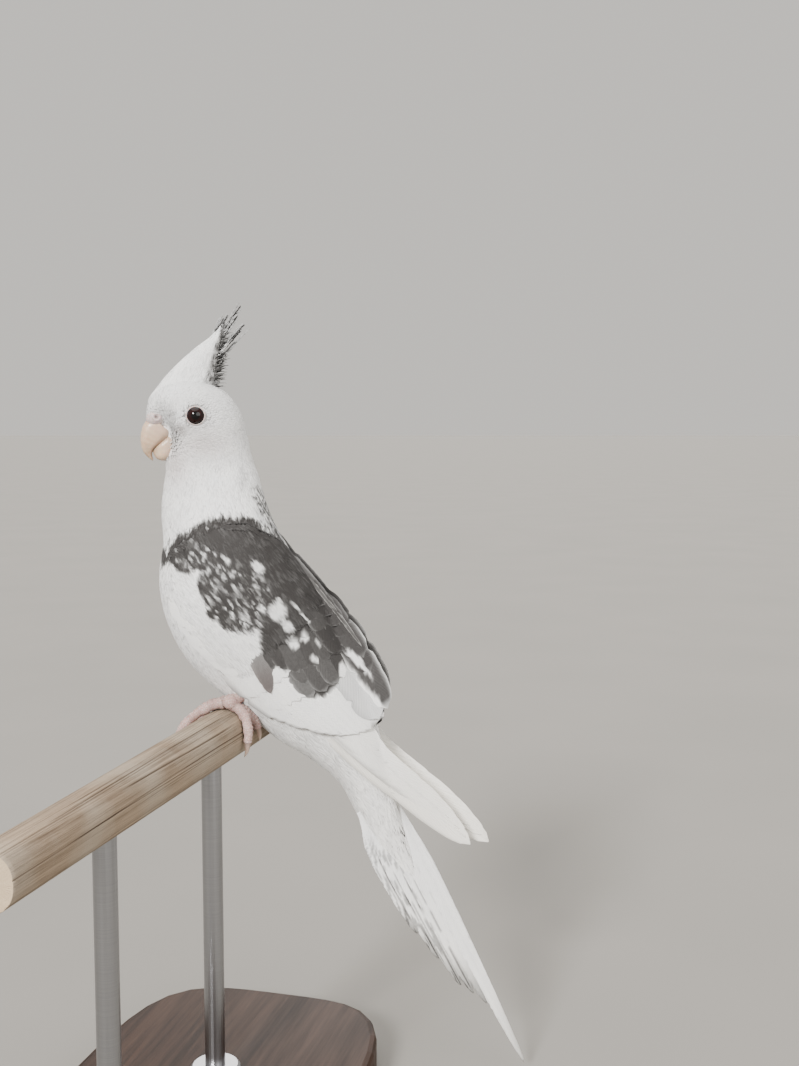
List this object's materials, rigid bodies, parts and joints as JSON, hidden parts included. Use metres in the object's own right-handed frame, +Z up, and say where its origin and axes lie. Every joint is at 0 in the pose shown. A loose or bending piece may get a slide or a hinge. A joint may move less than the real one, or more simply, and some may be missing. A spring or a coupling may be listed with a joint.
{
  "type": "cockatiel figure",
  "caption": "Life-size still model of a pied cockatiel with raised crest and long tail, gripping a short wooden perch on a plain display stand.",
  "frame": {"origin": "on the underside of the stand's base, straight below the point where the bird's midline crosses the perch's axis", "axes": "+Z up; the bird faces -X, and its left side is towards -Y; the perch lies level, 16 degrees off the Y axis"},
  "size_m": [0.2029, 0.2264, 0.3198],
  "materials": {
    "plumage": "soft matt white feathers",
    "wing_plumage": "matt grey and white feathers",
    "bill": "pale horn, faintly glossy",
    "eye": "glossy, dark red-brown",
    "foot_skin": "scaly, pinkish grey",
    "claw": "pale horn",
    "perch_wood": "weathered bare wood",
    "stand_wood": "dark stained, satin",
    "stand_steel": "brushed"
  },
  "bodies": {
    "root": {"torso": "plumage", "neck": "plumage", "head": "plumage", "eye_left": "eye", "eye_right": "eye", "bill_upper": "bill", "bill_lower": "bill", "wing_left": "wing_plumage", "wing_right": "wing_plumage", "tail": "plumage", "leg_left": "foot_skin", "leg_right": "foot_skin", "perch": "perch_wood", "stand_rod_1": "stand_steel", "stand_rod_2": "stand_steel", "stand_base": "stand_wood", "claw_left_1": "claw", "claw_left_2": "claw", "claw_left_3": "claw", "claw_left_4": "claw", "claw_right_1": "claw", "claw_right_2": "claw", "claw_right_3": "claw", "claw_right_4": "claw"}
  },
  "joints": []
}
